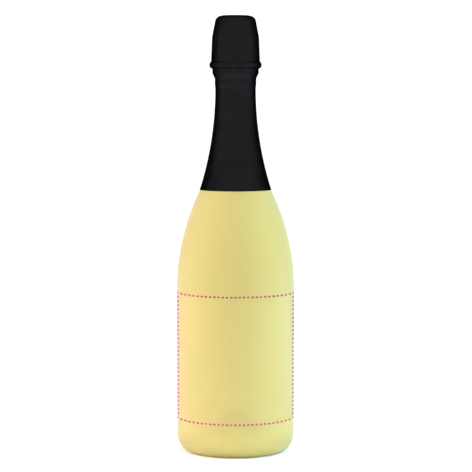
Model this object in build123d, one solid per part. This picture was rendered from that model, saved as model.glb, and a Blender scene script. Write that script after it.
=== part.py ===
from build123d import *
import math
import os

# A sealed bottle of sparkling wine, standing on its base. Lengths are in millimetres, angles in degrees.
# Z is the bottle's axis, z = 0 is the surface that it stands on, and its front looks along -Y.
# A mushroom cork is held down by a pressed metal cap and a wire cage, whose belt grips under the
# ring of the neck. A foil capsule covers them: a hood, a tear strip with its tab, and a skirt.

# Body of the bottle, outside
body_radius = 44.0
heel_reach = 10.0  # how far the rounded heel runs in from the side
heel_height = 14.0
bearing_width = 2.6  # flat ring that the bottle stands on
shoulder_start = 120.7  # height of the straight body
shoulder_radius = 171.5  # convex arc of the shoulder
waist_radius = 36.3  # short concave arc above the shoulder
sweep_radius = 249.2  # long concave arc up to the neck
sweep_share = 0.4436  # the long concave arc's share of how far the slope runs in
neck_radius = 14.8
neck_straight = 8.0  # straight part of the neck over the shoulder

# Inside of the bottle
body_wall = 5.7
neck_wall = 5.2
floor_thickness = 8.0
floor_corner_height = 11.0  # rounded corner between the floor and the wall
bore_radius = 8.75
bore_length = 27.0

# Punt, the hollow under the bottle
punt_depth = 33.0
punt_foot_radius = 6.0
punt_crown_radius = 9.0

# Finish of the neck: the lip with its bead, and the ring that the cage grips
lip_rounding = 1.2
bead_radius = 14.1
bead_height = 6.4
bead_top_rounding = 1.8
bead_foot_rounding = 0.9
groove_radius = 13.0
groove_height = 4.1
ring_radius = 16.0
ring_height = 5.0
ring_rounding = 1.1
undercut_radius = 14.3
undercut_height = 8.0
undercut_taper = 3.0

# Wine
fill_drop = 83.0  # from the lip down to the level of the wine
wine_gap = 0.05  # between the wine and the glass

# Cork
cork_depth = 24.0
cork_fit = 0.05  # radial clearance in the bore
cork_seat = 0.1  # gap between the head and the lip
cork_disc_thickness = 5.0
cork_chamfer = 0.8
cork_head_radius = 14.7
cork_head_height = 15.2
cork_widest_height = 4.0  # from the lip up to the widest place of the head
cork_underside_radius = 11.2
cork_top_radius = 12.5
cork_top_rounding = 1.6

# Pressed metal cap on the cork
cap_sheet = 0.25
cap_seat = 0.05
cap_radius = 12.2
cap_rim_drop = 0.4
cap_centre_radius = 8.9
cap_centre_rise = 1.6

# Wire cage
wire_diameter = 0.7
wire_gap = 0.06
cage_gap = 0.1  # between the legs and what they run over
leg_count = 4
leg_first_angle = 45.0
leg_top_bend = 1.5
leg_shoulder_bend = 14.0
leg_ring_bend = 40.0
top_ring_radius = 10.2
belt_drop = 1.4  # from the ring's underside down to the belt
belt_grip = 0.3  # how far the belt reaches in under the ring
loop_angle = 90.0  # where the loop sits, at the back
loop_rise = 13.4  # from the belt up to the loop's tip
loop_eye_length = 6.6
loop_eye_width = 5.4
loop_lean = 9.6  # inward tilt of the eye
loop_bend = 3.0

# Foil capsule
foil_sheet = 0.2
foil_gap = 0.1  # between the foil and the glass
cage_cover_gap = 0.4  # between the cage and the hood at the ring
cork_cover_gap = 0.2  # between the cage and the hood beside the cork
hood_headroom = 4.8  # from the top of the cork to the top of the foil
hood_shoulder_rise = 3.5  # from the lip up to where the hood turns in beside the cork
hood_shoulder_radius = 17.5
hood_top_radius = 14.43  # where the hood's side would meet its flat top
hood_corner_rounding = 4.8
hood_shoulder_rounding = 12.0
hood_hole_radius = 8.5
top_disc_radius = 10.2
top_disc_crown = 0.3
disc_seat = 0.05  # film of glue under the top disc
bulge_depth = 1.24
bulge_flat = 1.1  # straight part of the bulge above the tear line
bulge_fall = 3.2
hood_edge_drop = 0.8  # from the belt down to the hood's edge
tear_line = 0.1  # open perforation above and below the tear strip
strip_radius = 17.25
strip_flare_height = 2.9
strip_band_height = 2.3
skirt_length = 86.6
skirt_cone_height = 3.9
skirt_collar_radius = 15.45
skirt_collar_height = 4.0
skirt_taper_height = 3.4
tab_length = 9.0
tab_height = 1.8
tab_gap = 0.05
tab_sheet = 0.3
tab_angle = 60.0

# Label
label_bottom = 25.0
label_height = 95.5
label_film = 0.12
label_gap = 0.05
label_wrap = 174.0

# How near to its place a round edge has to lie to be picked for rounding
pick_margin = 0.05

# Slopes of the shoulder, steepest and where its two concave arcs meet, and the height that it ends at
slope_fall = (body_radius - neck_radius) / (
    shoulder_radius + waist_radius * (1 - sweep_share) + sweep_radius * sweep_share)
shoulder_slope = math.acos(1 - slope_fall)
sweep_slope = math.acos(1 - slope_fall * sweep_share)
shoulder_end = (shoulder_start + (shoulder_radius + waist_radius) * math.sin(shoulder_slope)
                + (sweep_radius - waist_radius) * math.sin(sweep_slope))

# Places that follow from the sizes above
undercut_foot = shoulder_end + neck_straight
ring_bottom = undercut_foot + undercut_taper + undercut_height
ring_top = ring_bottom + ring_height
bead_bottom = ring_top + groove_height
lip_height = bead_bottom + bead_height
wire_radius = wire_diameter / 2
pair_radius = wire_diameter + wire_gap / 2  # two strands twisted together
bearing_outer = body_radius - heel_reach
bearing_inner = bearing_outer - bearing_width
bore_end = lip_height - bore_length
inner_radius = body_radius - body_wall
throat_radius = neck_radius - neck_wall
cork_bottom = lip_height - cork_depth
cork_top = lip_height + cork_head_height
cap_top = cork_top + cap_seat + cap_sheet
belt_radius = ring_radius - belt_grip + wire_radius
belt_height = ring_bottom - belt_drop
eyelet_radius = wire_diameter + wire_gap
leg_ring_radius = ring_radius + cage_gap + pair_radius
hood_waist_radius = leg_ring_radius + pair_radius + cage_cover_gap + foil_sheet
hood_shoulder_height = lip_height + hood_shoulder_rise
total_height = cork_top + hood_headroom
hood_top = total_height - top_disc_crown - foil_sheet - disc_seat
hood_edge = belt_height - hood_edge_drop
bulge_radius = hood_waist_radius + bulge_depth
strip_top = hood_edge - tear_line
strip_bottom = strip_top - strip_flare_height - strip_band_height
skirt_top = strip_bottom - tear_line
skirt_edge = skirt_top - skirt_length
hinge_radius = belt_radius + wire_radius + wire_gap + pair_radius


def turned(outline):
    """A solid turned about Z from a closed outline drawn as (radius, height)."""
    return revolve(Plane.XZ * make_face(outline), Axis.Z)


def turned_sheet(line, thickness):
    """A shell of even thickness whose outside follows a line drawn upwards, as (radius, height)."""
    return turned(offset(line, amount=thickness, side=Side.LEFT, closed=True))


def swept(path, radius):
    """A round wire along a path."""
    return sweep(Plane(origin=path @ 0, z_dir=path % 0) * Circle(radius), path=path)


def stand_up(path, angle):
    """Turns a path drawn as (radius, height) upright, into the half plane at an angle about Z."""
    return Rot(0, 0, angle) * (Plane.XZ * path)


def quarter(inner, outer, bottom, height):
    """A quarter ellipse, from a level start at the inner radius up to an upright end at the outer."""
    centre = (inner, bottom + height)
    return EllipticalCenterArc(centre, outer - inner, height, start_angle=270, arc_size=90)


def s_curve(start, end):
    """Two equal arcs between two points, upright at both ends."""
    middle = ((start[0] + end[0]) / 2, (start[1] + end[1]) / 2)
    return TangentArc(start, middle, tangent=(0, 1)) + TangentArc(end, middle, tangent=(0, -1))


def shoulder(start_radius, end_radius, convex, short_concave, long_concave):
    """The bottle's shoulder: a convex arc and two concave ones, upright at both ends, and its end."""
    fall = (start_radius - end_radius) / (
        convex + short_concave * (1 - sweep_share) + long_concave * sweep_share)
    steep = math.degrees(math.acos(1 - fall))
    turn = math.degrees(math.acos(1 - fall * sweep_share))
    bulge = JernArc((start_radius, shoulder_start), (0, 1), convex, steep)
    waist = JernArc(bulge @ 1, bulge % 1, short_concave, turn - steep)
    sweep_up = JernArc(waist @ 1, waist % 1, long_concave, -turn)
    return bulge + waist + sweep_up, sweep_up @ 1


def outer_shoulder(outset):
    """The glass's shoulder, or a line that stays parallel to it, further out."""
    return shoulder(body_radius + outset, neck_radius + outset, shoulder_radius + outset,
                    waist_radius - outset, sweep_radius - outset)


def punt(foot_radius, foot_height, foot_rounding, crown_height, crown_rounding):
    """The punt's wall from its foot up to the axis: an arc, a slope and a rounded crown."""
    rise = crown_height - foot_height
    rounding = foot_rounding + crown_rounding
    lean = math.atan2(rise - rounding, foot_radius)
    slope = lean + math.asin(rounding / math.hypot(foot_radius, rise - rounding))
    across = math.sin(slope)
    along = 1 - math.cos(slope)
    foot_end = (foot_radius - foot_rounding * across, foot_height + foot_rounding * along)
    crown_start = (crown_rounding * across, crown_height - crown_rounding * along)
    foot = TangentArc((foot_radius, foot_height), foot_end, tangent=(-1, 0))
    crown = TangentArc((0, crown_height), crown_start, tangent=(1, 0))
    return foot + Line(foot_end, crown_start) + crown


def rims(solid, radius, low, high):
    """The round edges of a solid that have this radius, between two heights."""
    found = []
    for edge in solid.edges().filter_by(GeomType.CIRCLE):
        height = edge.center().Z
        if abs(edge.radius - radius) < pick_margin and low - pick_margin < height < high + pick_margin:
            found.append(edge)
    return found


def cavity(gap):
    """The space inside the glass from the floor to the lip, or a smaller one with a gap all round."""
    side = inner_radius - gap
    bore = bore_radius - gap
    floor_radius = (bearing_inner + bearing_outer) / 2
    floor = floor_thickness + gap
    crown = punt_depth + floor_thickness + gap
    wall, throat = shoulder(side, throat_radius - gap, shoulder_radius - body_wall,
                            waist_radius + neck_wall, sweep_radius + neck_wall)
    upper = Polyline(throat, (bore, bore_end), (bore, lip_height), (0, lip_height), (0, crown))
    return turned(
        punt(floor_radius, floor, punt_foot_radius, crown, punt_crown_radius + floor_thickness)
        + quarter(floor_radius, side, floor, floor_corner_height)
        + Line((side, floor + floor_corner_height), (side, shoulder_start))
        + wall
        + upper
    )


def glass_bottle():
    wall, neck_start = outer_shoulder(0)
    finish = Polyline(
        neck_start,
        (neck_radius, undercut_foot),
        (undercut_radius, undercut_foot + undercut_taper),
        (undercut_radius, ring_bottom),
        (ring_radius, ring_bottom),
        (ring_radius, ring_top),
        (groove_radius, ring_top),
        (groove_radius, bead_bottom),
        (bead_radius, bead_bottom),
        (bead_radius, lip_height),
        (0, lip_height),
        (0, punt_depth),
    )
    glass = turned(
        punt(bearing_inner, 0, punt_foot_radius, punt_depth, punt_crown_radius)
        + Line((bearing_inner, 0), (bearing_outer, 0))
        + quarter(bearing_outer, body_radius, 0, heel_height)
        + Line((body_radius, heel_height), (body_radius, shoulder_start))
        + wall
        + finish
    ) - cavity(0)
    glass = fillet(rims(glass, ring_radius, ring_bottom, ring_top), ring_rounding)
    glass = fillet(rims(glass, bead_radius, lip_height, lip_height), bead_top_rounding)
    glass = fillet(rims(glass, bead_radius, bead_bottom, bead_bottom), bead_foot_rounding)
    return fillet(rims(glass, bore_radius, bead_bottom, lip_height), lip_rounding)


def wine():
    level = Plane.XY.offset(lip_height - fill_drop)
    return split(cavity(wine_gap), bisect_by=level, keep=Keep.BOTTOM)


def front_label():
    middle = Pos(body_radius + label_gap + label_film / 2, label_bottom + label_height / 2)
    film = revolve(Plane.XZ * middle * Rectangle(label_film, label_height), Axis.Z, label_wrap)
    return Rot(0, 0, -90 - label_wrap / 2) * film


def cork_pieces():
    """The natural discs at the wine's end and the pressed body with its mushroom head."""
    radius = bore_radius - cork_fit
    lower_top = cork_bottom + cork_disc_thickness
    upper_top = lower_top + cork_disc_thickness
    seat = lip_height + cork_seat
    widest = lip_height + cork_widest_height
    disc = extrude(Circle(radius), cork_disc_thickness)
    upper = Pos(0, 0, lower_top) * disc
    lower = Pos(0, 0, cork_bottom) * disc
    lower = chamfer(lower.edges().group_by(Axis.Z)[0], cork_chamfer)
    shank = Polyline((0, cork_top), (0, upper_top), (radius, upper_top), (radius, seat),
                     (cork_underside_radius, seat))
    body = turned(
        shank
        + quarter(cork_underside_radius, cork_head_radius, seat, widest - seat)
        + TangentArc((cork_head_radius, widest), (cork_top_radius, cork_top), tangent=(0, 1))
        + Line((cork_top_radius, cork_top), (0, cork_top))
    )
    body = fillet(rims(body, cork_top_radius, cork_top, cork_top), cork_top_rounding)
    return lower, upper, body


def metal_cap():
    """A pressed cap with a raised centre; the cage's top ring lies on the flat around the centre."""
    rim = Polyline((cap_radius, cap_top - cap_rim_drop), (cap_radius, cap_top),
                   (cap_centre_radius, cap_top))
    centre = TangentArc((0, cap_top + cap_centre_rise), (cap_centre_radius, cap_top), tangent=(1, 0))
    return turned_sheet(rim + centre, cap_sheet)


def leg_path():
    """Centre line of a leg, from the top ring out over the cap, down the cork and past the ring."""
    top = cap_top + cap_seat + pair_radius
    inset = foil_sheet + cork_cover_gap + pair_radius
    return FilletPolyline(
        (top_ring_radius, top),
        (hood_top_radius + hood_top_lean() - inset, top),
        (hood_shoulder_radius - inset, hood_shoulder_height),
        (leg_ring_radius, ring_top + cage_gap),
        (leg_ring_radius, belt_height + eyelet_radius),
        radius=[leg_top_bend, leg_shoulder_bend, leg_ring_bend],
    )


def hood_top_lean():
    """How much wider the hood's side is at the legs' top bend than at the hood's flat top."""
    slope = (hood_shoulder_radius - hood_top_radius) / (hood_top - hood_shoulder_height)
    return slope * (hood_top - cap_top)


def cage_frame():
    """Top ring, four twisted legs and the eyelet at each leg's foot."""
    frame = Pos(0, 0, cap_top + cap_seat + pair_radius) * Torus(top_ring_radius, wire_radius)
    for number in range(leg_count):
        angle = leg_first_angle + number * 360 / leg_count
        eyelet = Pos(belt_radius, 0, belt_height) * Rot(90, 0, 0) * Torus(eyelet_radius, wire_radius)
        frame = frame + swept(stand_up(leg_path(), angle), pair_radius) + Rot(0, 0, angle) * eyelet
    return frame


def cage_belt():
    return Pos(0, 0, belt_height) * Torus(belt_radius, wire_radius)


def cage_loop():
    """The twisted ends of the belt's wire: a stem that lies up the ring, and an eye above it."""
    lean = math.radians(loop_lean)
    eye_length = loop_eye_length - wire_diameter
    eye_foot = belt_height + loop_rise - eye_length * math.cos(lean)
    foot_radius = leg_ring_radius - (eye_foot - ring_top) * math.tan(lean)
    stem_line = FilletPolyline((hinge_radius, belt_height), (leg_ring_radius, ring_top),
                               (foot_radius, eye_foot), radius=[loop_bend])
    stem = swept(stand_up(stem_line, loop_angle), pair_radius)
    root = Rot(0, 0, loop_angle) * Pos(hinge_radius, 0, belt_height) * Sphere(pair_radius)
    oval = SlotOverall(eye_length, loop_eye_width - wire_diameter).wire()
    oval = Rot(0, -90 - loop_lean, 0) * Pos((eye_length - wire_diameter) / 2, 0, 0) * oval
    eye = Rot(0, 0, loop_angle) * Pos(foot_radius, 0, eye_foot) * swept(oval, wire_radius)
    return stem + root + eye


def foil_hood():
    side = FilletPolyline(
        (hood_waist_radius, hood_edge + bulge_flat + bulge_fall),
        (hood_shoulder_radius, hood_shoulder_height),
        (hood_top_radius, hood_top),
        (hood_hole_radius, hood_top),
        radius=[hood_shoulder_rounding, hood_corner_rounding],
    )
    bulge = Line((bulge_radius, hood_edge), (bulge_radius, hood_edge + bulge_flat)) + s_curve(
        (bulge_radius, hood_edge + bulge_flat), (hood_waist_radius, hood_edge + bulge_flat + bulge_fall))
    return turned_sheet(bulge + side, foil_sheet)


def foil_top_disc():
    edge = total_height - top_disc_crown
    crown = TangentArc((0, total_height), (top_disc_radius, edge), tangent=(1, 0))
    return turned(offset(crown, amount=foil_sheet, side=Side.RIGHT, closed=True))


def tear_strip():
    band_top = strip_bottom + strip_band_height
    line = Line((strip_radius, strip_bottom), (strip_radius, band_top)) + s_curve(
        (strip_radius, band_top), (bulge_radius, strip_top))
    return turned_sheet(line, foil_sheet)


def tear_tab():
    """The free end of the tear strip, lying against it."""
    inner = strip_radius + tab_gap
    middle = Pos(inner + tab_sheet / 2, strip_bottom + strip_band_height / 2)
    tab = revolve(Plane.XZ * middle * Rectangle(tab_sheet, tab_height), Axis.Z,
                  math.degrees(tab_length / inner))
    return Rot(0, 0, tab_angle) * tab


def skirt_core(inset):
    """Solid core up to the tear strip, as wide as the skirt's outside less an inset."""
    outset = foil_gap + foil_sheet - inset
    wall, neck_start = outer_shoulder(outset)
    cone_foot = skirt_top - skirt_cone_height
    collar_foot = cone_foot - skirt_collar_height
    collar = skirt_collar_radius - inset
    upper = Polyline(
        neck_start,
        (neck_radius + outset, collar_foot - skirt_taper_height),
        (collar, collar_foot),
        (collar, cone_foot),
        (strip_radius - inset, skirt_top),
        (0, skirt_top),
        (0, shoulder_start),
        (body_radius + outset, shoulder_start),
    )
    return turned(wall + upper)


def foil_skirt():
    """The sleeve down the neck: a cone under the tear strip, a collar, and the glass's own curve."""
    sleeve = skirt_core(0) - skirt_core(foil_sheet)
    return split(sleeve, bisect_by=Plane.XY.offset(skirt_edge), keep=Keep.TOP)


def main():
    cork_disc_lower, cork_disc_upper, cork_body = cork_pieces()
    nodes = {
        "glass_bottle": glass_bottle(),
        "wine": wine(),
        "front_label": front_label(),
        "foil_skirt": foil_skirt(),
        "tear_strip": tear_strip(),
        "tear_tab": tear_tab(),
        "foil_hood": foil_hood(),
        "foil_top_disc": foil_top_disc(),
        "metal_cap": metal_cap(),
        "cage_frame": cage_frame(),
        "cage_belt": cage_belt(),
        "cage_loop": cage_loop(),
        "cork_body": cork_body,
        "cork_disc_upper": cork_disc_upper,
        "cork_disc_lower": cork_disc_lower,
    }
    os.makedirs("parts", exist_ok=True)
    for name, solid in nodes.items():
        export_step(solid, f"parts/{name}.step")
        print(name, round(solid.volume, 1))
    print("height", round(total_height, 2), "lip", round(lip_height, 2), "skirt edge", round(skirt_edge, 2))


main()
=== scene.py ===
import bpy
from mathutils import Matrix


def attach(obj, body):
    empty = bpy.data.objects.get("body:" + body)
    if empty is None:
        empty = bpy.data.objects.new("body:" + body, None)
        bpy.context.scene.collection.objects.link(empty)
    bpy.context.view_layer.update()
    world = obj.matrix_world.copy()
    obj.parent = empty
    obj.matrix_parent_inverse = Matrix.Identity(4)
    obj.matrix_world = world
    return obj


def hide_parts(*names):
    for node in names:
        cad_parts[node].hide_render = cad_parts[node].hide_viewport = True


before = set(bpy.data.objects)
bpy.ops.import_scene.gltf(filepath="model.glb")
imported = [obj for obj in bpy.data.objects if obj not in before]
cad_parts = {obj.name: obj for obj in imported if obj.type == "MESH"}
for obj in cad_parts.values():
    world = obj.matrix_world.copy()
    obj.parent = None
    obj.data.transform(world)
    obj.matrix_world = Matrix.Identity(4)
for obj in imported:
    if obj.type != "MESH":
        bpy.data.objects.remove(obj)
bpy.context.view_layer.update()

import math

import bmesh
import bpy
from mathutils import Vector

# A sealed bottle of sparkling wine. The bottle's sizes are in millimetres and degrees, and become
# metres where a mesh is made. Z is the bottle's axis, and the front looks along -Y.
MM = 0.001
FULL_TURN = 360

# Glass
BODY_RADIUS = 44
HEEL_HEIGHT = 14
SHOULDER_FOOT = 120.7
NECK_RADIUS = 14.8
NECK_FOOT = 279.47
RING_RADIUS = 16
RING_FOOT = 290.47
RING_TOP = 295.47
BEAD_RADIUS = 14.1
BEAD_FOOT = 299.57
THROAT_RADIUS = 13  # between the ring and the bead
LIP = 305.97
MOUTH_RADIUS = 8.75
INSIDE_RADIUS = 38.3
INSIDE_FLOOR = 8
BODY_WALL = BODY_RADIUS - INSIDE_RADIUS
NECK_WALL = 5.2
FLOOR_POINTS = 19  # how many points of the inside's outline come before it rises
ROUND_STEPS = 160  # round the glass and the wine

# Wine
WINE_LEVEL = 222.97
WINE_EDGE = 224.2  # where the wine's curved edge meets the glass
WINE_GAP = 0.02

# Label
FILM_RADIUS = 44.05
FILM_SHEET = 0.12
INK_RADIUS = FILM_RADIUS + FILM_SHEET
INK_SHEET = 0.03
LABEL_FOOT = 25.0
LABEL_TOP = 120.5
LABEL_WRAP = 174  # how far the label runs round the front
LABEL_MARGIN = 0.2

# Foil
FOIL_SHEET = 0.2
SKIRT_EDGE = 196.27
STRIP_RADIUS = 17.25
STRIP_FOOT = 282.97
STRIP_TOP = 288.17
TEAR_GAP = 0.1
BULGE_RADIUS = 19.4
TAB_RADIUS = 17.3
TAB_FOOT = 283.22
TAB_TOP = 285.02
TAB_LENGTH = 9.0
TAB_SHEET = 0.3
HOOD_EDGE = STRIP_TOP + TEAR_GAP
HOOD_SIDE_RADIUS = 17.5
HOOD_SIDE_HEIGHT = 309.47
HOOD_CORNER_RADIUS = 14.43
HOOD_HOLE_RADIUS = 8.5
FOIL_TOP = 325.97
DISC_RADIUS = 10.2
DISC_RISE = 0.3
HOOD_TOP = FOIL_TOP - DISC_RISE - 0.25

# Cork, cap and cage
CORK_RADIUS = 8.7
CORK_FOOT = LIP - 24
CORK_DISC = 5
CAP_TOP = 321.47
CAP_SHEET = 0.25
WIRE_RADIUS = 0.35
STRAND_RADIUS = 0.38  # how far each strand of a twisted pair lies from its middle
PAIR_RADIUS = STRAND_RADIUS + WIRE_RADIUS
TOP_RING_RADIUS = 10.2
TOP_RING_HEIGHT = CAP_TOP + 0.05 + PAIR_RADIUS
BELT_HEIGHT = 289.07
BELT_RADIUS = 16.05
EYELET_RADIUS = 0.76
LEG_RADIUS = 16.83
EYE_RADIUS = 2.35


# Ways of working

def put_down():
    """Leaves edit mode and deselects everything."""
    if bpy.context.object and bpy.context.object.mode != "OBJECT":
        bpy.ops.object.mode_set(mode="OBJECT")
    bpy.ops.object.select_all(action="DESELECT")


def pick_up(piece):
    put_down()
    piece.select_set(True)
    bpy.context.view_layer.objects.active = piece


def settle(piece):
    """Puts a piece's place into its mesh, with its object at the origin."""
    pick_up(piece)
    bpy.ops.object.transform_apply(location=True, rotation=True, scale=True)


def shape(piece):
    """Opens a piece for shaping, with nothing of it selected."""
    pick_up(piece)
    bpy.ops.object.mode_set(mode="EDIT")
    bpy.ops.mesh.select_mode(type="VERT")
    bpy.ops.mesh.select_all(action="DESELECT")


def choose(piece, wanted):
    """Selects the points that wanted(radius, angle, height) says, in millimetres and degrees."""
    work = bmesh.from_edit_mesh(piece.data)
    for point in work.verts:
        x, y, z = point.co / MM
        point.select_set(wanted(math.hypot(x, y), math.degrees(math.atan2(y, x)) % FULL_TURN, z))
    work.select_flush(True)
    bmesh.update_edit_mesh(piece.data)


def start_at(name, radius, height):
    """A new piece of one point, ready to be drawn out along an outline."""
    put_down()
    bpy.ops.mesh.primitive_plane_add(size=MM, location=(radius * MM, 0, height * MM))
    piece = bpy.context.object
    piece.name = piece.data.name = name
    settle(piece)
    shape(piece)
    bpy.ops.mesh.select_all(action="SELECT")
    bpy.ops.mesh.merge(type="CENTER")
    return piece


def draw_out(points):
    """Draws the chosen point out along an outline of (radius, height)."""
    for (radius, height), (next_radius, next_height) in zip(points, points[1:]):
        step = ((next_radius - radius) * MM, 0, (next_height - height) * MM)
        bpy.ops.mesh.extrude_vertices_move(TRANSFORM_OT_translate={"value": step})


def turn(steps, angle=FULL_TURN):
    """Turns everything drawn round the bottle's axis, from angle 0 against the clock."""
    bpy.ops.mesh.select_all(action="SELECT")
    bpy.ops.mesh.spin(steps=steps, angle=math.radians(angle), center=(0, 0, 0), axis=(0, 0, -1))


def close_up(piece):
    """Merges what a turned shape has twice, and makes its faces look outwards."""
    pick_up(piece)
    bpy.ops.object.mode_set(mode="EDIT")
    bpy.ops.mesh.select_all(action="SELECT")
    bpy.ops.mesh.remove_doubles(threshold=0.002 * MM)
    bpy.ops.mesh.normals_make_consistent(inside=False)
    put_down()
    return piece


def turned(name, points, steps=128):
    """A piece turned from an outline of (radius, height)."""
    piece = start_at(name, *points[0])
    draw_out(points)
    turn(steps)
    return close_up(piece)


def smooth(piece, angle=35):
    pick_up(piece)
    bpy.ops.object.shade_smooth_by_angle(angle=math.radians(angle))


def fixed(piece, kind, **settings):
    """Adds a modifier with these settings and applies it."""
    pick_up(piece)
    modifier = piece.modifiers.new(kind.title(), kind)
    for name, value in settings.items():
        setattr(modifier, name, value)
    bpy.ops.object.modifier_apply(modifier=modifier.name)


def joined(name, pieces):
    put_down()
    for piece in pieces:
        piece.select_set(True)
    bpy.context.view_layer.objects.active = pieces[0]
    bpy.ops.object.join()
    pieces[0].name = pieces[0].data.name = name
    return pieces[0]


def repeated_round(piece, count, step):
    """Copies a piece round the bottle's axis, each copy a step of degrees further."""
    put_down()
    bpy.ops.object.empty_add()
    turner = bpy.context.object
    turner.rotation_euler.z = math.radians(step)
    bpy.context.view_layer.update()
    fixed(piece, "ARRAY", count=count, use_relative_offset=False, use_object_offset=True,
          offset_object=turner)
    removed(turner)


def pushed(piece, amount, radius, wanted):
    """Moves the wanted points out from the axis, by an amount that holds at this radius."""
    shape(piece)
    choose(piece, wanted)
    share = 1 + amount / radius
    bpy.ops.transform.resize(value=(share, share, 1), center_override=(0, 0, 0))
    put_down()


def removed(thing):
    bpy.data.objects.remove(thing, do_unlink=True)


def faces_axis(face):
    """Whether a face looks in towards the bottle's axis."""
    return face.normal.x * face.center.x + face.normal.y * face.center.y < -1e-9


# Outlines

def arc(start, heading, radius, bend, steps):
    """Points on an arc that leaves its start at a heading; a positive bend goes to the left."""
    side = 1 if bend > 0 else -1
    first = math.radians(heading)
    centre = (start[0] - side * radius * math.sin(first), start[1] + side * radius * math.cos(first))
    points = []
    for step in range(1, steps + 1):
        way = first + math.radians(bend) * step / steps
        out, up = side * radius * math.sin(way), side * radius * math.cos(way)
        points.append((centre[0] + out, centre[1] - up))
    return points


def rounded(corners, steps=5):
    """An outline through corners (radius, height, rounding)."""
    points = [corners[0][:2]]
    for before, corner, after in zip(corners, corners[1:], corners[2:]):
        if not corner[2]:
            points.append(corner[:2])
            continue
        here = Vector(corner[:2])
        way_in = (here - Vector(before[:2])).normalized()
        way_out = (Vector(after[:2]) - here).normalized()
        bend = math.degrees(math.atan2(way_in.x * way_out.y - way_in.y * way_out.x, way_in.dot(way_out)))
        start = here - way_in * corner[2] * math.tan(math.radians(abs(bend)) / 2)
        heading = math.degrees(math.atan2(way_in.y, way_in.x))
        points += [tuple(start)] + arc(start, heading, corner[2], bend, steps)
    return points + [corners[-1][:2]]


def s_bend(start, end, steps=6):
    """Two equal arcs between two points, upright at both ends."""
    across, up = end[0] - start[0], end[1] - start[1]
    reach = math.hypot(across, up)
    bend = 2 * math.degrees(math.atan2(-across, up))
    radius = reach / 4 / math.sin(math.radians(abs(bend)) / 2)
    first = arc(start, 90, radius, bend, steps)
    return [start] + first + arc(first[-1], 90 + bend, radius, -bend, steps)


def quarter(inner, outer, bottom, height, steps=10):
    """A quarter ellipse from a level start at the inner radius up to an upright end at the outer."""
    points = []
    for step in range(steps + 1):
        way = math.radians(90 * step / steps)
        points.append((inner + (outer - inner) * math.sin(way), bottom + height * (1 - math.cos(way))))
    return points


def punt_wall(foot_radius, foot, foot_rounding, crown, crown_rounding):
    """The punt's wall from its crown on the axis down to its foot."""
    rise = crown - foot
    both = foot_rounding + crown_rounding
    lean = math.atan2(rise - both, foot_radius)
    slope = lean + math.asin(both / math.hypot(foot_radius, rise - both))
    foot_start = (foot_radius - foot_rounding * math.sin(slope),
                  foot + foot_rounding * (1 - math.cos(slope)))
    slope = math.degrees(slope)
    points = [(0, crown)] + arc((0, crown), 0, crown_rounding, -slope, 10)
    return points + [foot_start] + arc(foot_start, -slope, foot_rounding, slope, 8)


def shoulder(outset, wall=0, throat_wall=0):
    """The bottle's shoulder from its foot up to the neck. The walls move it to the glass's inside."""
    start, end = BODY_RADIUS + outset - wall, NECK_RADIUS + outset - throat_wall
    convex = 171.5 + outset - wall
    waist = 36.3 - outset + throat_wall
    sweep = 249.2 - outset + throat_wall
    share = 0.4436
    fall = (start - end) / (convex + waist * (1 - share) + sweep * share)
    steep = math.degrees(math.acos(1 - fall))
    upper = math.degrees(math.acos(1 - fall * share))
    points = [(start, SHOULDER_FOOT)] + arc((start, SHOULDER_FOOT), 90, convex, steep, 30)
    points += arc(points[-1], 90 + steep, waist, upper - steep, 6)
    return points + arc(points[-1], 90 + upper, sweep, -upper, 26)


def between(points, low, high):
    """The part of an upward outline between two heights, cut exactly at them."""
    kept = []
    for (r0, z0), (r1, z1) in zip(points, points[1:]):
        for cut in (low, high):
            if z0 < cut < z1:
                kept.append((r0 + (r1 - r0) * (cut - z0) / (z1 - z0), cut))
        if low <= z1 <= high:
            kept.append((r1, z1))
    if low <= points[0][1] <= high:
        kept.insert(0, points[0])
    return sorted(kept, key=lambda point: point[1])


def inner_wall(gap):
    """The inside of the glass from its floor on the axis up to the bore, or a smaller one."""
    foot_radius, corner_height = 32.7, 11
    floor = punt_wall(foot_radius, INSIDE_FLOOR + gap, foot_rounding=6, crown=41 + gap,
                      crown_rounding=17)
    corner = quarter(foot_radius, INSIDE_RADIUS - gap, INSIDE_FLOOR + gap, corner_height)
    side = [(INSIDE_RADIUS - gap, INSIDE_FLOOR + corner_height + k * 10) for k in range(1, 10)]
    return floor + corner[1:] + side + shoulder(-gap, BODY_WALL, NECK_WALL)


def wetted(gap):
    """The inside's outline from its middle up to the wine's edge."""
    outline = inner_wall(gap)
    floor = outline[:FLOOR_POINTS]
    rest = between(outline[FLOOR_POINTS - 1:], 0, WINE_EDGE)
    return floor + [point for point in rest if point not in floor]


# Materials

def stuff(name, **plain):
    """A material with plain values on its main shader."""
    material = bpy.data.materials.new(name)
    material.use_nodes = True
    shader = material.node_tree.nodes["Principled BSDF"]
    for socket, value in plain.items():
        shader.inputs[socket.replace("_", " ")].default_value = value
    return material


def shader_of(material):
    return material.node_tree.nodes["Principled BSDF"]


def add_node(material, kind, **settings):
    node = material.node_tree.nodes.new(kind)
    for name, value in settings.items():
        setattr(node, name, value)
    return node


def link(material, start, end):
    material.node_tree.links.new(start, end)


def placed(material, stretch=(1, 1, 1)):
    """The piece's own coordinates, stretched."""
    place = add_node(material, "ShaderNodeTexCoord")
    mapping = add_node(material, "ShaderNodeMapping")
    mapping.inputs["Scale"].default_value = stretch
    link(material, place.outputs["Object"], mapping.inputs["Vector"])
    return mapping.outputs["Vector"]


def clouds(material, where, scale, detail=3.0, rough=0.5):
    """A soft noise."""
    node = add_node(material, "ShaderNodeTexNoise")
    node.inputs["Scale"].default_value = scale
    node.inputs["Detail"].default_value = detail
    node.inputs["Roughness"].default_value = rough
    link(material, where, node.inputs["Vector"])
    return node.outputs["Fac"]


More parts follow.
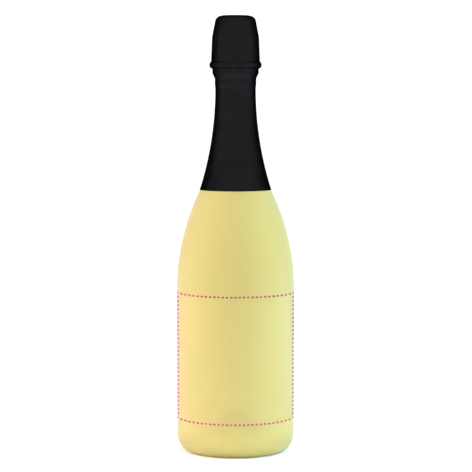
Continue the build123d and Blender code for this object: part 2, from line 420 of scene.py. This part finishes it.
def stirred(material, where, scale, reach):
    """Coordinates that a noise moves about, up to a reach in millimetres."""
    noise = add_node(material, "ShaderNodeTexNoise")
    noise.inputs["Scale"].default_value = scale
    link(material, where, noise.inputs["Vector"])
    moved = add_node(material, "ShaderNodeVectorMath", operation="MULTIPLY_ADD")
    moved.inputs[1].default_value = (reach * MM, reach * MM, reach * MM)
    link(material, noise.outputs["Color"], moved.inputs[0])
    link(material, where, moved.inputs[2])
    return moved.outputs["Vector"]


def cells(material, where, scale, feature, output):
    """A pattern of grains."""
    node = add_node(material, "ShaderNodeTexVoronoi", feature=feature)
    node.inputs["Scale"].default_value = scale
    link(material, where, node.inputs["Vector"])
    return node.outputs[output]


def graded(material, amount, low, high, start=0.3, end=0.7):
    """Turns an amount into numbers between low and high."""
    node = add_node(material, "ShaderNodeMapRange")
    for name, value in {"From Min": start, "From Max": end, "To Min": low, "To Max": high}.items():
        node.inputs[name].default_value = value
    link(material, amount, node.inputs["Value"])
    return node.outputs["Result"]


def coloured(material, amount, stops):
    """Turns an amount into colours, from stops of (place, colour)."""
    node = add_node(material, "ShaderNodeValToRGB")
    ramp = node.color_ramp
    while len(ramp.elements) < len(stops):
        ramp.elements.new(0.5)
    for element, (position, colour) in zip(ramp.elements, stops):
        element.position = position
        element.color = (*colour, 1)
    link(material, amount, node.inputs["Fac"])
    return node.outputs["Color"]


def mixed(material, amount, plain, pattern):
    """A plain colour where the amount is 0, and a pattern where it is 1."""
    node = add_node(material, "ShaderNodeMix", data_type="RGBA")
    inputs = {socket.identifier: socket for socket in node.inputs}
    inputs["A_Color"].default_value = (*plain, 1)
    link(material, amount, inputs["Factor_Float"])
    link(material, pattern, inputs["B_Color"])
    return {socket.identifier: socket for socket in node.outputs}["Result_Color"]


def embossed(material, height, depth, strength=1.0, under=None):
    """Raises the surface by a height, up to a depth in millimetres."""
    node = add_node(material, "ShaderNodeBump")
    node.inputs["Strength"].default_value = strength
    node.inputs["Distance"].default_value = depth * MM
    link(material, height, node.inputs["Height"])
    if under:
        link(material, under, node.inputs["Normal"])
    return node.outputs["Normal"]


def wear(material, **linked):
    """Joins outputs to the main shader."""
    for socket, output in linked.items():
        link(material, output, shader_of(material).inputs[socket.replace("_", " ")])


def satin_glass():
    """Glass with a satin outside that spreads the light, tinted like straw."""
    glass = stuff("satin_bottle_glass", Transmission_Weight=0.6, IOR=1.5,
                  Base_Color=(0.65, 0.585, 0.213, 1))
    slow = clouds(glass, placed(glass, (1, 1, 0.35)), 22, 1.0)
    grain = clouds(glass, placed(glass), 1400, 4.0, 0.6)
    wear(glass, Roughness=graded(glass, grain, 0.38, 0.44), Normal=embossed(glass, slow, 0.12, 0.4))
    return glass


def clear_glass(name, index):
    """Smooth glass. Where wine lies against it, its index is that of glass over that of wine."""
    glass = stuff(name, Transmission_Weight=1.0, IOR=index, Base_Color=(0.975, 0.955, 0.9, 1))
    grain = clouds(glass, placed(glass), 300, 3.0)
    wear(glass, Roughness=graded(glass, grain, 0.0, 0.02))
    return glass


def wine_stuff():
    """Pale gold wine. Its colour comes from how much wine the light crosses."""
    wine = stuff("pale_gold_wine", Transmission_Weight=1.0, IOR=1.0, Base_Color=(1, 1, 1, 1),
                 Roughness=0.0)
    depth = add_node(wine, "ShaderNodeVolumeAbsorption")
    depth.inputs["Color"].default_value = (0.78, 0.69, 0.0, 1)
    depth.inputs["Density"].default_value = 10
    link(wine, depth.outputs["Volume"], wine.node_tree.nodes["Material Output"].inputs["Volume"])
    return wine


def wine_surface():
    surface = stuff("wine_surface", Transmission_Weight=1.0, IOR=1.34, Base_Color=(1, 1, 1, 1))
    wear(surface, Roughness=graded(surface, clouds(surface, placed(surface), 90), 0.0, 0.01))
    return surface


def black_foil():
    foil = stuff("black_satin_foil", Metallic=1.0, Specular_Tint=(0.1, 0.1, 0.1, 1))
    streaks = clouds(foil, placed(foil, (1, 1, 0.06)), 900, 4.0, 0.6)
    dents = clouds(foil, placed(foil), 110, 3.0)
    tone = coloured(foil, dents, [(0.35, (0.0115, 0.0115, 0.0125)), (0.65, (0.0135, 0.0135, 0.0145))])
    bump = embossed(foil, dents, 0.05, 0.5, embossed(foil, streaks, 0.02, 0.4))
    wear(foil, Base_Color=tone, Roughness=graded(foil, streaks, 0.38, 0.5), Normal=bump)
    return foil


def foil_inside():
    bare = stuff("bare_foil_inside", Metallic=1.0)
    streaks = clouds(bare, placed(bare, (1, 1, 0.1)), 700)
    tone = coloured(bare, streaks, [(0.3, (0.62, 0.62, 0.61)), (0.7, (0.74, 0.74, 0.73))])
    wear(bare, Base_Color=tone, Roughness=graded(bare, streaks, 0.32, 0.48),
         Normal=embossed(bare, streaks, 0.02, 0.5))
    return bare


def label_film():
    film = stuff("clear_label_film", Base_Color=(0.72, 0.62, 0.24, 1), Alpha=0.06, IOR=1.45)
    fine = clouds(film, placed(film), 1500)
    wear(film, Roughness=graded(film, fine, 0.12, 0.22), Normal=embossed(film, fine, 0.004, 0.3))
    return film


def label_ink():
    ink = stuff("magenta_label_ink", Specular_IOR_Level=0.1)
    fine = clouds(ink, placed(ink), 2500)
    tone = coloured(ink, fine, [(0.3, (0.33, 0.0, 0.13)), (0.7, (0.4, 0.0, 0.155))])
    wear(ink, Base_Color=tone, Roughness=graded(ink, fine, 0.32, 0.5))
    return ink


def steel_wire():
    steel = stuff("drawn_steel_wire", Metallic=1.0)
    drawn = clouds(steel, placed(steel, (1, 1, 0.2)), 2600, 4.0)
    dull = clouds(steel, placed(steel), 240, 2.0)
    tone = coloured(steel, dull, [(0.3, (0.42, 0.42, 0.41)), (0.7, (0.6, 0.6, 0.58))])
    wear(steel, Base_Color=tone, Roughness=graded(steel, drawn, 0.25, 0.45),
         Normal=embossed(steel, drawn, 0.01, 0.6))
    return steel


def cap_lacquer():
    lacquer = stuff("black_cap_lacquer", Coat_Weight=0.4, Coat_Roughness=0.12)
    fine = clouds(lacquer, placed(lacquer), 700, 4.0)
    tone = coloured(lacquer, fine, [(0.3, (0.018, 0.018, 0.02)), (0.7, (0.028, 0.028, 0.03))])
    wear(lacquer, Base_Color=tone, Roughness=graded(lacquer, fine, 0.3, 0.42),
         Normal=embossed(lacquer, fine, 0.012, 0.5))
    return lacquer


def pressed_cork():
    """Cork grains bonded together, each with its own tone, and dark gaps between them."""
    cork = stuff("pressed_cork_grains", Specular_IOR_Level=0.3)
    where = placed(cork)
    grain_scale = 430
    loose = stirred(cork, where, 380, 2.4)
    tones = add_node(cork, "ShaderNodeSeparateColor")
    link(cork, cells(cork, loose, grain_scale, "F1", "Color"), tones.inputs["Color"])
    tone = coloured(cork, tones.outputs["Red"], [(0.0, (0.3, 0.16, 0.07)), (0.2, (0.5, 0.31, 0.16)),
                                                 (1.0, (0.66, 0.46, 0.27))])
    edges = cells(cork, loose, grain_scale, "DISTANCE_TO_EDGE", "Distance")
    gap = graded(cork, edges, 0.0, 1.0, 0.0, 0.05)
    fine = clouds(cork, where, 2200, 4.0)
    bump = embossed(cork, gap, 0.12, 0.8, embossed(cork, fine, 0.03, 0.6))
    wear(cork, Base_Color=mixed(cork, gap, (0.24, 0.13, 0.06), tone),
         Roughness=graded(cork, fine, 0.72, 0.92), Normal=bump)
    return cork


def natural_cork():
    """Cork cut from bark, with faint rings and short dark pores."""
    cork = stuff("natural_cork_bark", Specular_IOR_Level=0.3)
    bands = clouds(cork, placed(cork, (0.25, 1, 1)), 420, 4.0)
    pores = clouds(cork, placed(cork, (1, 0.22, 1)), 900, 2.0)
    tone = coloured(cork, bands, [(0.3, (0.52, 0.34, 0.18)), (0.7, (0.68, 0.49, 0.29))])
    open_pores = graded(cork, pores, 0.0, 1.0, 0.34, 0.4)
    wear(cork, Base_Color=mixed(cork, open_pores, (0.2, 0.11, 0.055), tone),
         Roughness=graded(cork, bands, 0.7, 0.9), Normal=embossed(cork, open_pores, 0.15, 0.7))
    return cork


def dress(piece, body, slot, nodes, *materials):
    """Gives a piece its materials and body, and hides the solids that it stands for. Its finish slot is
    not used.
    """
    if not piece.data.materials:
        for material in materials:
            piece.data.materials.append(material)
    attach(piece, body)
    if nodes:
        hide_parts(*nodes)


# Studio, in metres

def looking(place, aim):
    """The turn that makes a camera or a light at a place look at its aim."""
    return (Vector(aim) - Vector(place)).to_track_quat("-Z", "Y").to_euler()


def photo_camera():
    lens = bpy.data.cameras.new("photo_camera")
    lens.sensor_width = 36
    lens.lens = 152.2
    camera = bpy.data.objects.new("photo_camera", lens)
    bpy.context.scene.collection.objects.link(camera)
    camera.location = (0.00034, -1.490, 0.275)
    camera.rotation_euler = looking(camera.location, (0.00034, 0, 0.1614))
    bpy.context.scene.camera = camera


def studio_light():
    """White all round."""
    world = bpy.data.worlds.new("soft_studio")
    bpy.context.scene.world = world
    world.use_nodes = True
    light = world.node_tree.nodes["Background"]
    light.inputs["Color"].default_value = (1, 1, 1, 1)
    light.inputs["Strength"].default_value = 1.18


def softbox(name, place, aim, size, colour, power, spread=180):
    """A soft light that only shows by what it lights. A small spread keeps its light together."""
    lamp = bpy.data.lights.new(name, "AREA")
    lamp.shape = "RECTANGLE"
    lamp.size, lamp.size_y = size
    lamp.color = colour
    lamp.energy = power
    lamp.spread = math.radians(spread)
    box = bpy.data.objects.new(name, lamp)
    bpy.context.scene.collection.objects.link(box)
    box.location = place
    box.rotation_euler = looking(place, aim)
    box.visible_camera = False
    box.visible_glossy = False
    box.visible_transmission = False


def studio_floor():
    put_down()
    bpy.ops.mesh.primitive_circle_add(vertices=128, radius=12, fill_type="NGON",
                                      location=(0, 0, -0.1 * MM))
    floor = bpy.context.object
    floor.name = "studio_floor"
    settle(floor)
    paint = stuff("pale_floor", Base_Color=(0.93, 0.93, 0.93, 1), Specular_IOR_Level=0.1)
    wear(paint, Roughness=graded(paint, clouds(paint, placed(paint), 8), 0.85, 0.95))
    floor.data.materials.append(paint)


# Glass and wine

def glass_bottle():
    dry = between(shoulder(0, BODY_WALL, NECK_WALL), WINE_EDGE, LIP)
    throat = NECK_RADIUS - 0.5
    finish = rounded([
        (NECK_RADIUS, NECK_FOOT - 6, 0), (NECK_RADIUS, NECK_FOOT, 6), (throat, NECK_FOOT + 3, 6),
        (throat, RING_FOOT, 0.7), (RING_RADIUS, RING_FOOT, 1.1), (RING_RADIUS, RING_TOP, 1.1),
        (THROAT_RADIUS, RING_TOP, 0.9), (THROAT_RADIUS, BEAD_FOOT, 0.9),
        (BEAD_RADIUS, BEAD_FOOT, 0.9), (BEAD_RADIUS, LIP, 1.8), (MOUTH_RADIUS, LIP, 1.2),
        (MOUTH_RADIUS, LIP - 27, 8), dry[-1] + (0,),
    ])
    rise = (SHOULDER_FOOT - HEEL_HEIGHT) / 12
    side = [(BODY_RADIUS, HEEL_HEIGHT + k * rise) for k in range(1, 12)]
    punt = punt_wall(31.4, 0, foot_rounding=6, crown=33, crown_rounding=9)
    heel = quarter(34, BODY_RADIUS, 0, HEEL_HEIGHT, 14)
    outline = punt + heel + side + shoulder(0) + finish + dry[::-1][1:]
    piece = start_at("bottle_glass", *outline[0])
    draw_out(outline)
    turn(ROUND_STEPS)
    lining = turned("lining", wetted(0), ROUND_STEPS)
    by_air = clear_glass("clear_glass_by_air", 1.5)
    by_wine = clear_glass("clear_glass_by_wine", 1.119)
    for material in (satin_glass(), by_air, by_wine):
        piece.data.materials.append(material)
        lining.data.materials.append(material)
    for face in lining.data.polygons:
        face.material_index = 2
    piece = joined("bottle_glass", [piece, lining])
    close_up(piece)
    for face in piece.data.polygons:
        if face.center.z > WINE_EDGE * MM and faces_axis(face):
            face.material_index = 1
    smooth(piece, 50)
    dress(piece, "bottle", "glass", ["glass_bottle"])


def wine():
    wall = wetted(WINE_GAP)
    edge = wall[-1][0]
    rim = [(0.25, 0.75), (0.7, 0.35), (1.4, 0.12), (2.6, 0)]  # the wine climbs the glass a little
    curve = [(edge - inset, WINE_LEVEL + rise) for inset, rise in rim]
    piece = turned("sparkling_wine", wall + curve + [(0, WINE_LEVEL)], ROUND_STEPS)
    body, surface = wine_stuff(), wine_surface()
    piece.data.materials.append(body)
    piece.data.materials.append(surface)
    for face in piece.data.polygons:
        if face.center.z > WINE_LEVEL * MM - 1e-6 and face.normal.z > 0.2:
            face.material_index = 1
    smooth(piece, 50)
    dress(piece, "bottle", "wine", ["wine"])


# Label

def wrapped(name, radius, heights, steps, start, end):
    """A patch round the bottle between two angles, counted from the middle of the front."""
    patch = start_at(name, radius, heights[0])
    draw_out([(radius, height) for height in heights])
    turn(steps, end - start)
    put_down()
    patch.rotation_euler.z = math.radians(start - 90)
    settle(patch)
    return patch


def label():
    step = (LABEL_TOP - LABEL_FOOT) / 8
    heights = [LABEL_FOOT + step * k for k in range(9)]
    film = wrapped("label_clear_film", FILM_RADIUS, heights, 116, -LABEL_WRAP / 2, LABEL_WRAP / 2)
    fixed(film, "SOLIDIFY", thickness=FILM_SHEET * MM, offset=-1)
    close_up(film)
    smooth(film)
    dress(film, "bottle", "label_film", ["front_label"], label_film())


def ink_patch(low, high, start, end):
    steps = max(1, round((end - start) / 2))
    return wrapped("patch", INK_RADIUS, [low, high], steps, start, end)


def label_border():
    """Dots evenly spaced as seen from the front, so they are longer where the label turns away."""
    pitch, dot_width, dot_height = 3.1, 1.55, 1.25
    bar_length, inset = 9, 4.5  # degrees round the side of the label
    edge = LABEL_WRAP / 2 - inset
    reach = math.sin(math.radians(edge))

    def angle_at(place):
        return math.degrees(math.asin(min(max(place / INK_RADIUS, -reach), reach)))

    count = 2 * int(reach * INK_RADIUS / pitch) + 1
    lowest = LABEL_FOOT + LABEL_MARGIN
    highest = LABEL_TOP - LABEL_MARGIN - dot_height
    patches = []
    for row in (lowest, highest):
        for number in range(count):
            middle = (number - (count - 1) / 2) * pitch
            start, end = angle_at(middle - dot_width / 2), angle_at(middle + dot_width / 2)
            patches.append(ink_patch(row, row + dot_height, start, end))
    bars = round((LABEL_TOP - LABEL_FOOT) / pitch) - 2
    rise = (highest - lowest) / (bars + 1)
    for start in (-edge, edge - bar_length):
        low = lowest + rise
        bar = ink_patch(low, low + dot_width, start, start + bar_length)
        fixed(bar, "ARRAY", count=bars, use_relative_offset=False, use_constant_offset=True,
              constant_offset_displace=(0, 0, rise * MM))
        patches.append(bar)
    border = joined("label_printed_border", patches)
    fixed(border, "SOLIDIFY", thickness=INK_SHEET * MM, offset=-1)
    close_up(border)
    dress(border, "bottle", "label_film", [], label_ink())


# Foil

def sheet(name, outside, thickness=FOIL_SHEET, steps=192):
    """A turned sheet of even thickness, whose outside follows an upward outline."""
    inside = []
    for number, point in enumerate(outside):
        before = outside[max(number - 1, 0)]
        after = outside[min(number + 1, len(outside) - 1)]
        way = Vector((after[0] - before[0], after[1] - before[1])).normalized()
        inside.append((point[0] - way.y * thickness, point[1] + way.x * thickness))
    loop = outside + inside[::-1] + [outside[0]]
    return turned(name, loop, steps)


def foil_faces(piece, foil, bare, roof=FOIL_TOP):
    """The black outside and the bare inside of a piece of foil, with its roof above a height."""
    piece.data.materials.append(foil)
    piece.data.materials.append(bare)
    for face in piece.data.polygons:
        under_roof = face.normal.z < -0.3 and face.center.z > roof * MM
        if faces_axis(face) or under_roof:
            face.material_index = 1


def foil_skirt(foil, bare):
    wall = between(shoulder(0.3), SKIRT_EDGE, FOIL_TOP)
    edge = STRIP_FOOT - TEAR_GAP
    collar, collar_radius = edge - 7.9, 15.45
    upper = rounded([wall[-1] + (0,), (15.1, collar - 3.4, 2), (collar_radius, collar, 3),
                     (collar_radius, collar + 4, 2), (STRIP_RADIUS, edge, 0)])
    piece = sheet("capsule_skirt", wall + upper[1:])
    foil_faces(piece, foil, bare)
    for spacing, start in ((7.5, 0), (18.75, 4), (33.75, 9)):  # creases from pressing the foil on
        pushed(piece, -0.024, 15, lambda radius, angle, height: 225 < height < STRIP_FOOT - 2
               and (angle + start) % spacing < spacing * 0.4)
    pushed(piece, 0.04, 20, lambda radius, angle, height: abs(angle - 90) < 5)  # lap at the back
    smooth(piece, 40)
    dress(piece, "bottle", "foil", ["foil_skirt"])


def tear_ties(radius, height, foil, bare):
    """The ties that a tear line leaves between its cuts."""
    put_down()
    bpy.ops.mesh.primitive_cube_add(size=1, location=(radius * MM, 0, height * MM),
                                    scale=(FOIL_SHEET * MM, 0.6 * MM, 0.08 * MM))
    tie = bpy.context.object
    tie.data.materials.append(foil)
    tie.data.materials.append(bare)
    settle(tie)
    count = 40
    repeated_round(tie, count, FULL_TURN / count)
    return tie


def tear_strip(foil, bare):
    band = [(STRIP_RADIUS, STRIP_FOOT + rise) for rise in (0, 1.1, 2.2)]
    flare = s_bend((STRIP_RADIUS, STRIP_FOOT + 2.3), (BULGE_RADIUS, STRIP_TOP))
    piece = sheet("capsule_tear_strip", band + flare)
    foil_faces(piece, foil, bare)
    inset, reach = FOIL_SHEET / 2, 0.045
    lower_ties = tear_ties(STRIP_RADIUS - inset, STRIP_FOOT - reach, foil, bare)
    upper_ties = tear_ties(BULGE_RADIUS - inset, STRIP_TOP + reach, foil, bare)
    piece = joined("capsule_tear_strip", [piece, lower_ties, upper_ties])
    smooth(piece, 40)
    dress(piece, "strip", "foil", ["tear_strip"])


def tear_tab(foil):
    """The free end of the tear strip, lying against it at the back."""
    start = 150  # counted from the middle of the front
    span = math.degrees(TAB_LENGTH / TAB_RADIUS)
    heights = [TAB_FOOT, TAB_FOOT + 0.58, TAB_TOP - 0.62, TAB_TOP]
    tab = wrapped("capsule_tear_tab", TAB_RADIUS, heights, 18, start, start + span)
    fixed(tab, "SOLIDIFY", thickness=TAB_SHEET * MM, offset=-1)
    close_up(tab)
    smooth(tab)
    dress(tab, "tab", "foil", ["tear_tab"], foil)


def foil_hood(foil, bare):
    waist = (18.16, HOOD_EDGE + 4.3)
    bulge = [(BULGE_RADIUS, HOOD_EDGE), (BULGE_RADIUS, HOOD_EDGE + 0.6)]
    bulge += s_bend((BULGE_RADIUS, HOOD_EDGE + 1.1), waist)
    side = rounded([waist + (0,), (HOOD_SIDE_RADIUS, HOOD_SIDE_HEIGHT, 12),
                    (HOOD_CORNER_RADIUS, HOOD_TOP, 4.8), (HOOD_HOLE_RADIUS, HOOD_TOP, 0)], 8)
    piece = sheet("capsule_hood", bulge + side[1:])
    for reach in (7, 5, 3):  # ribs where the foil lies over the cage's legs
        pushed(piece, 0.06, HOOD_SIDE_RADIUS, lambda radius, angle, height: 297 < height < 319
               and abs(angle % 90 - 45) < reach)
    pushed(piece, 0.08, HOOD_SIDE_RADIUS, lambda radius, angle, height: 297 < height < 302
           and abs(angle - 90) < 9)  # over the cage's loop
    foil_faces(piece, foil, bare, 310)
    smooth(piece, 40)
    dress(piece, "hood", "foil", ["foil_hood"])


def dome(top, radius, rise, steps):
    """A shallow dome from its top on the axis out to its radius."""
    ball = (radius ** 2 + rise ** 2) / 2 / rise
    return [(0, top)] + arc((0, top), 0, ball, -math.degrees(math.asin(radius / ball)), steps)


def grooved(points, inner, outer, depth):
    """An outline with a groove between two radii."""
    return [(reach, height - depth) if inner < reach < outer else (reach, height)
            for reach, height in points]


def top_disc(foil):
    crown = grooved(dome(FOIL_TOP, DISC_RADIUS, DISC_RISE, 34), 7.7, 8.6, 0.07)
    reach, height = crown[-1]
    edge = [(reach + 0.02, height - FOIL_SHEET / 2), (reach - 0.05, height - FOIL_SHEET)]
    under = [(reach, height - FOIL_SHEET) for reach, height in crown[::-1][1:]]
    piece = turned("capsule_top_disc", crown + edge + under)
    smooth(piece, 30)
    dress(piece, "hood", "foil", ["foil_top_disc"], foil)


# Cork and cage

def cork_pieces():
    cut = CORK_FOOT + CORK_DISC  # between the two discs
    joint = cut + CORK_DISC  # between the discs and the body
    lower = rounded([(0, CORK_FOOT, 0), (CORK_RADIUS, CORK_FOOT, 0.8), (CORK_RADIUS, cut, 0),
                     (0, cut, 0)])
    upper = [(0, cut), (CORK_RADIUS, cut), (CORK_RADIUS, (cut + joint) / 2),
             (CORK_RADIUS, joint), (0, joint)]
    seat, widest, top = LIP + 0.1, LIP + 4.0, LIP + 15.2
    seat_radius, widest_radius, top_radius = 11.2, 14.7, 12.5
    shank = [(CORK_RADIUS, joint + k * (seat - joint) / 6) for k in range(7)]
    head = quarter(seat_radius, widest_radius, seat, widest - seat, 8)
    reach, rise = widest_radius - top_radius, top - widest
    side_radius = (reach ** 2 + rise ** 2) / 2 / reach
    lean = math.degrees(math.asin(rise / side_radius))
    side = arc((widest_radius, widest), 90, side_radius, lean * 0.84, 10)
    crown = rounded([side[-1] + (0,), (top_radius, top, 1.4), (0, top, 0)])
    body = [(0, joint)] + shank + head + side + crown[1:]
    grains, bark = pressed_cork(), natural_cork()
    for name, outline, slot, node, material in (
            ("cork_disc_by_the_wine", lower, "natural_cork", "cork_disc_lower", bark),
            ("cork_disc_above", upper, "natural_cork", "cork_disc_upper", bark),
            ("cork_pressed_body", body, "pressed_cork", "cork_body", grains)):
        piece = turned(name, outline, 96)
        smooth(piece, 40)
        dress(piece, "cork", slot, [node], material)


def metal_cap():
    rise, centre_radius, rim_radius = 1.6, 8.9, 12.2
    centre = grooved(dome(CAP_TOP + rise, centre_radius, rise, 24), 6, 7, 0.12)
    rim = rounded([centre[-1] + (0,), (rim_radius, CAP_TOP, 0.2), (rim_radius, CAP_TOP - 0.4, 0)])
    outside = (centre + rim[1:])[::-1]
    piece = sheet("cork_cap_plate", outside, CAP_SHEET, 128)
    smooth(piece, 40)
    dress(piece, "cage", "cap_tinplate", ["metal_cap"], cap_lacquer())


def wire_ring(name, radius, place, segments, tilt=(0, 0, 0)):
    """A ring of wire round a place."""
    put_down()
    bpy.ops.mesh.primitive_torus_add(
        major_radius=radius * MM, minor_radius=WIRE_RADIUS * MM, major_segments=segments,
        minor_segments=12, location=[value * MM for value in place], rotation=tilt)
    ring = bpy.context.object
    ring.name = ring.data.name = name
    settle(ring)
    return ring


def line_curve(points):
    """A curve object through points, for a wire to lie along."""
    guide = start_at("guide", *points[0])
    draw_out(points)
    pick_up(guide)
    bpy.ops.object.convert(target="CURVE")
    return bpy.context.object


def twisted_pair(name, points, lay=5.5):
    """Two strands twisted round each other along a line of (radius, height), at angle 0."""
    length = sum(math.dist(a, b) for a, b in zip(points, points[1:]))
    turns = length / lay
    steps = max(24, int(turns * 16))
    strands = []
    for side in (-1, 1):
        put_down()
        bpy.ops.mesh.primitive_circle_add(vertices=10, radius=WIRE_RADIUS * MM, fill_type="NOTHING",
                                          location=(0, STRAND_RADIUS * side * MM, 0),
                                          rotation=(0, math.pi / 2, 0))
        strand = bpy.context.object
        settle(strand)
        fixed(strand, "SCREW", axis="X", angle=math.tau * turns, screw_offset=length * MM,
              steps=steps, render_steps=steps)
        shape(strand)
        bpy.ops.mesh.select_non_manifold()
        bpy.ops.mesh.edge_face_add()
        bpy.ops.mesh.select_all(action="SELECT")
        bpy.ops.mesh.normals_make_consistent(inside=False)
        put_down()
        strands.append(strand)
    pair = joined(name, strands)
    guide = line_curve(points)
    fixed(pair, "CURVE", object=guide, deform_axis="POS_X")
    removed(guide)
    return pair


def leg_line():
    """The middle line of a leg, which follows the inside of the hood from the top ring down."""
    inset = FOIL_SHEET + 0.2 + PAIR_RADIUS
    slope = (HOOD_SIDE_RADIUS - HOOD_CORNER_RADIUS) / (HOOD_TOP - HOOD_SIDE_HEIGHT)
    corner = HOOD_CORNER_RADIUS + slope * (HOOD_TOP - CAP_TOP) - inset
    return rounded([(TOP_RING_RADIUS, TOP_RING_HEIGHT, 0), (corner, TOP_RING_HEIGHT, 1.5),
                    (HOOD_SIDE_RADIUS - inset, HOOD_SIDE_HEIGHT, 14),
                    (LEG_RADIUS, RING_TOP + 0.1, 40),
                    (LEG_RADIUS, BELT_HEIGHT + EYELET_RADIUS, 0)], 8)


def cage():
    steel = steel_wire()
    top_ring = wire_ring("cage_top_ring", TOP_RING_RADIUS, (0, 0, TOP_RING_HEIGHT), 96)
    legs = []
    for number in range(4):
        leg = twisted_pair("leg", leg_line())
        place = (BELT_RADIUS, 0, BELT_HEIGHT)
        eyelet = wire_ring("eyelet", EYELET_RADIUS, place, 24, (math.pi / 2, 0, 0))
        leg = joined("leg", [leg, eyelet])
        leg.rotation_euler.z = math.radians(45 + 90 * number)
        settle(leg)
        legs.append(leg)
    frame_piece = joined("cage_top_ring_and_legs", [top_ring] + legs)
    smooth(frame_piece)
    dress(frame_piece, "cage", "wire", ["cage_frame"], steel)
    belt = wire_ring("cage_belt_wire", BELT_RADIUS, (0, 0, BELT_HEIGHT), 96)
    smooth(belt)
    dress(belt, "cage", "wire", ["cage_belt"], steel)
    return steel


def loop(steel):
    lean = math.radians(9.6)
    hinge_radius, loop_height = 17.19, 13.4
    stretch = 1.2  # how much longer than round the eye is
    eye_length = 2 * EYE_RADIUS + stretch
    eye_foot = BELT_HEIGHT + loop_height - eye_length * math.cos(lean)
    foot_radius = LEG_RADIUS - (eye_foot - RING_TOP) * math.tan(lean)
    stem_line = rounded([(hinge_radius, BELT_HEIGHT, 0), (LEG_RADIUS, RING_TOP, 3),
                         (foot_radius, eye_foot + 0.6, 0)], 8)
    stem = twisted_pair("stem", stem_line)
    eye = wire_ring("eye", EYE_RADIUS, (0, 0, 0), 40, (0, math.pi / 2, 0))
    shape(eye)
    choose(eye, lambda radius, angle, height: height > 0)
    bpy.ops.transform.translate(value=(0, 0, stretch * MM))
    put_down()
    eye.rotation_euler.y = -lean
    eye.location.x = (foot_radius - math.sin(lean) * EYE_RADIUS) * MM
    eye.location.z = (eye_foot + math.cos(lean) * EYE_RADIUS) * MM
    settle(eye)
    piece = joined("cage_loop_wire", [stem, eye])
    piece.rotation_euler.z = math.pi / 2
    settle(piece)
    smooth(piece)
    dress(piece, "loop", "wire", ["cage_loop"], steel)


photo_camera()
studio_light()
softbox("left_softbox", (-1.3, 0, 0.62), (0, 0, 0.17), (0.8, 1.2), (1.0, 0.688, 0.646), 26.8)
softbox("right_softbox", (1.3, 0, 0.62), (0, 0, 0.17), (0.8, 1.2), (0.478, 0.84, 1.0), 28.6)
softbox("low_softbox", (0, -0.2, 0.013), (0, 0, 0.011), (0.26, 0.012), (1.0, 0.954, 0.66),
        0.0208, 16)
softbox("punt_softbox", (0, -0.2, 0.034), (0, 0, 0.032), (0.03, 0.01), (1.0, 1.0, 0.9),
        0.0008, 14)
studio_floor()
bpy.context.scene.view_settings.view_transform = "Standard"
bpy.context.scene.cycles.max_bounces = 32
bpy.context.scene.cycles.transmission_bounces = 32
glass_bottle()
wine()
label()
label_border()
black, silver = black_foil(), foil_inside()
foil_skirt(black, silver)
tear_strip(black, silver)
tear_tab(black)
foil_hood(black, silver)
top_disc(black)
cork_pieces()
metal_cap()
loop(cage())
